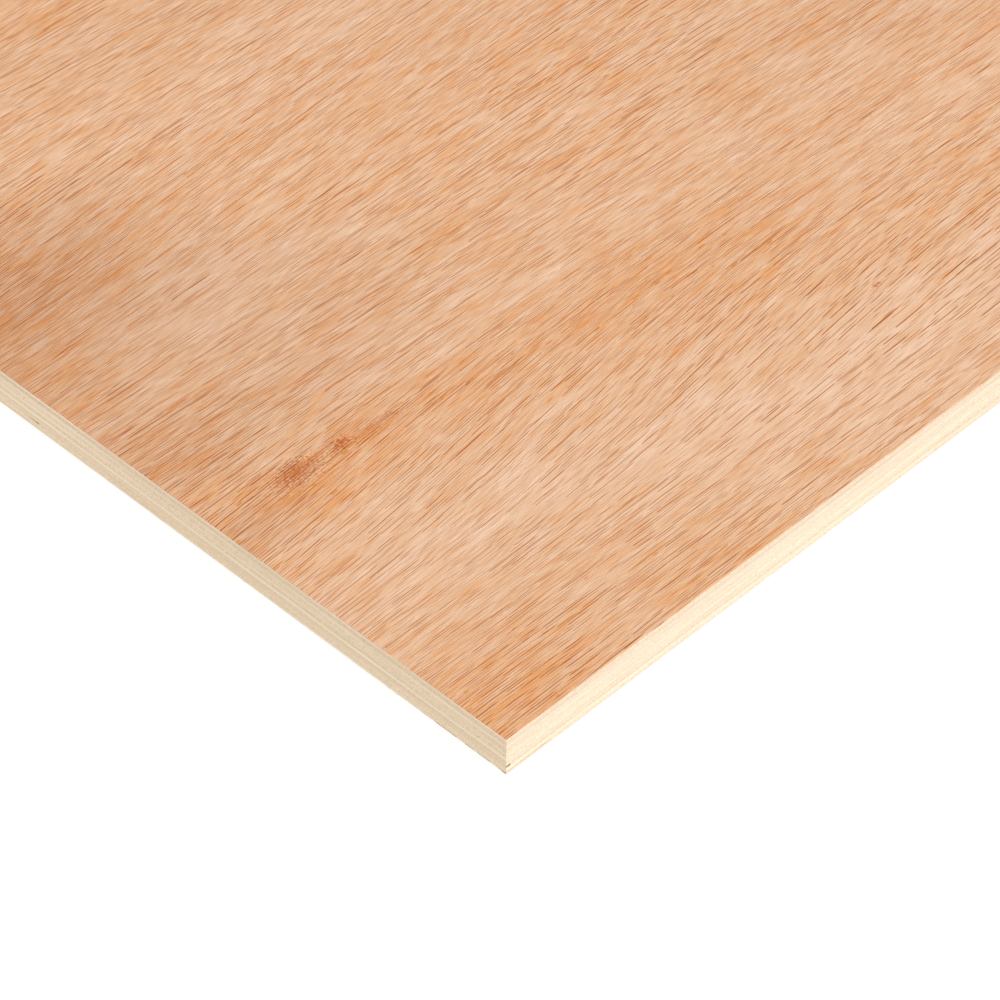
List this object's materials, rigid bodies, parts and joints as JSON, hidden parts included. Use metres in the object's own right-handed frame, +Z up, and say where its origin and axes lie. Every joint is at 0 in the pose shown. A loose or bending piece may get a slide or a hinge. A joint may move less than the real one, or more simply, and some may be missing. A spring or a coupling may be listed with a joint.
{
  "type": "plywood sheet",
  "caption": "Flat rectangular sheet of glued cross-grained plies with a red-brown hardwood face and back on a pale core, sawn square, for floors, cladding and joinery.",
  "frame": {"origin": "centre of the sheet's underside", "axes": "+X along the sheet's length and the grain of its face, +Y across it, +Z up out of the face"},
  "size_m": [2.44, 1.22, 0.018],
  "materials": {
    "face_veneer": "sanded, unfinished red-brown hardwood with fine dark pore lines",
    "crossband": "sawn edge of pale veneer with its grain across the sheet",
    "core_ply": "sawn edge of pale veneer with its grain along the sheet",
    "back_veneer": "sanded, unfinished red-brown hardwood, a lower grade than the face"
  },
  "bodies": {
    "root": {"face_veneer": "face_veneer", "crossband_1": "crossband", "crossband_2": "crossband", "crossband_3": "crossband", "crossband_4": "crossband", "crossband_5": "crossband", "crossband_6": "crossband", "core_ply_1": "core_ply", "core_ply_2": "core_ply", "core_ply_3": "core_ply", "core_ply_4": "core_ply", "core_ply_5": "core_ply", "back_veneer": "back_veneer"}
  },
  "joints": []
}
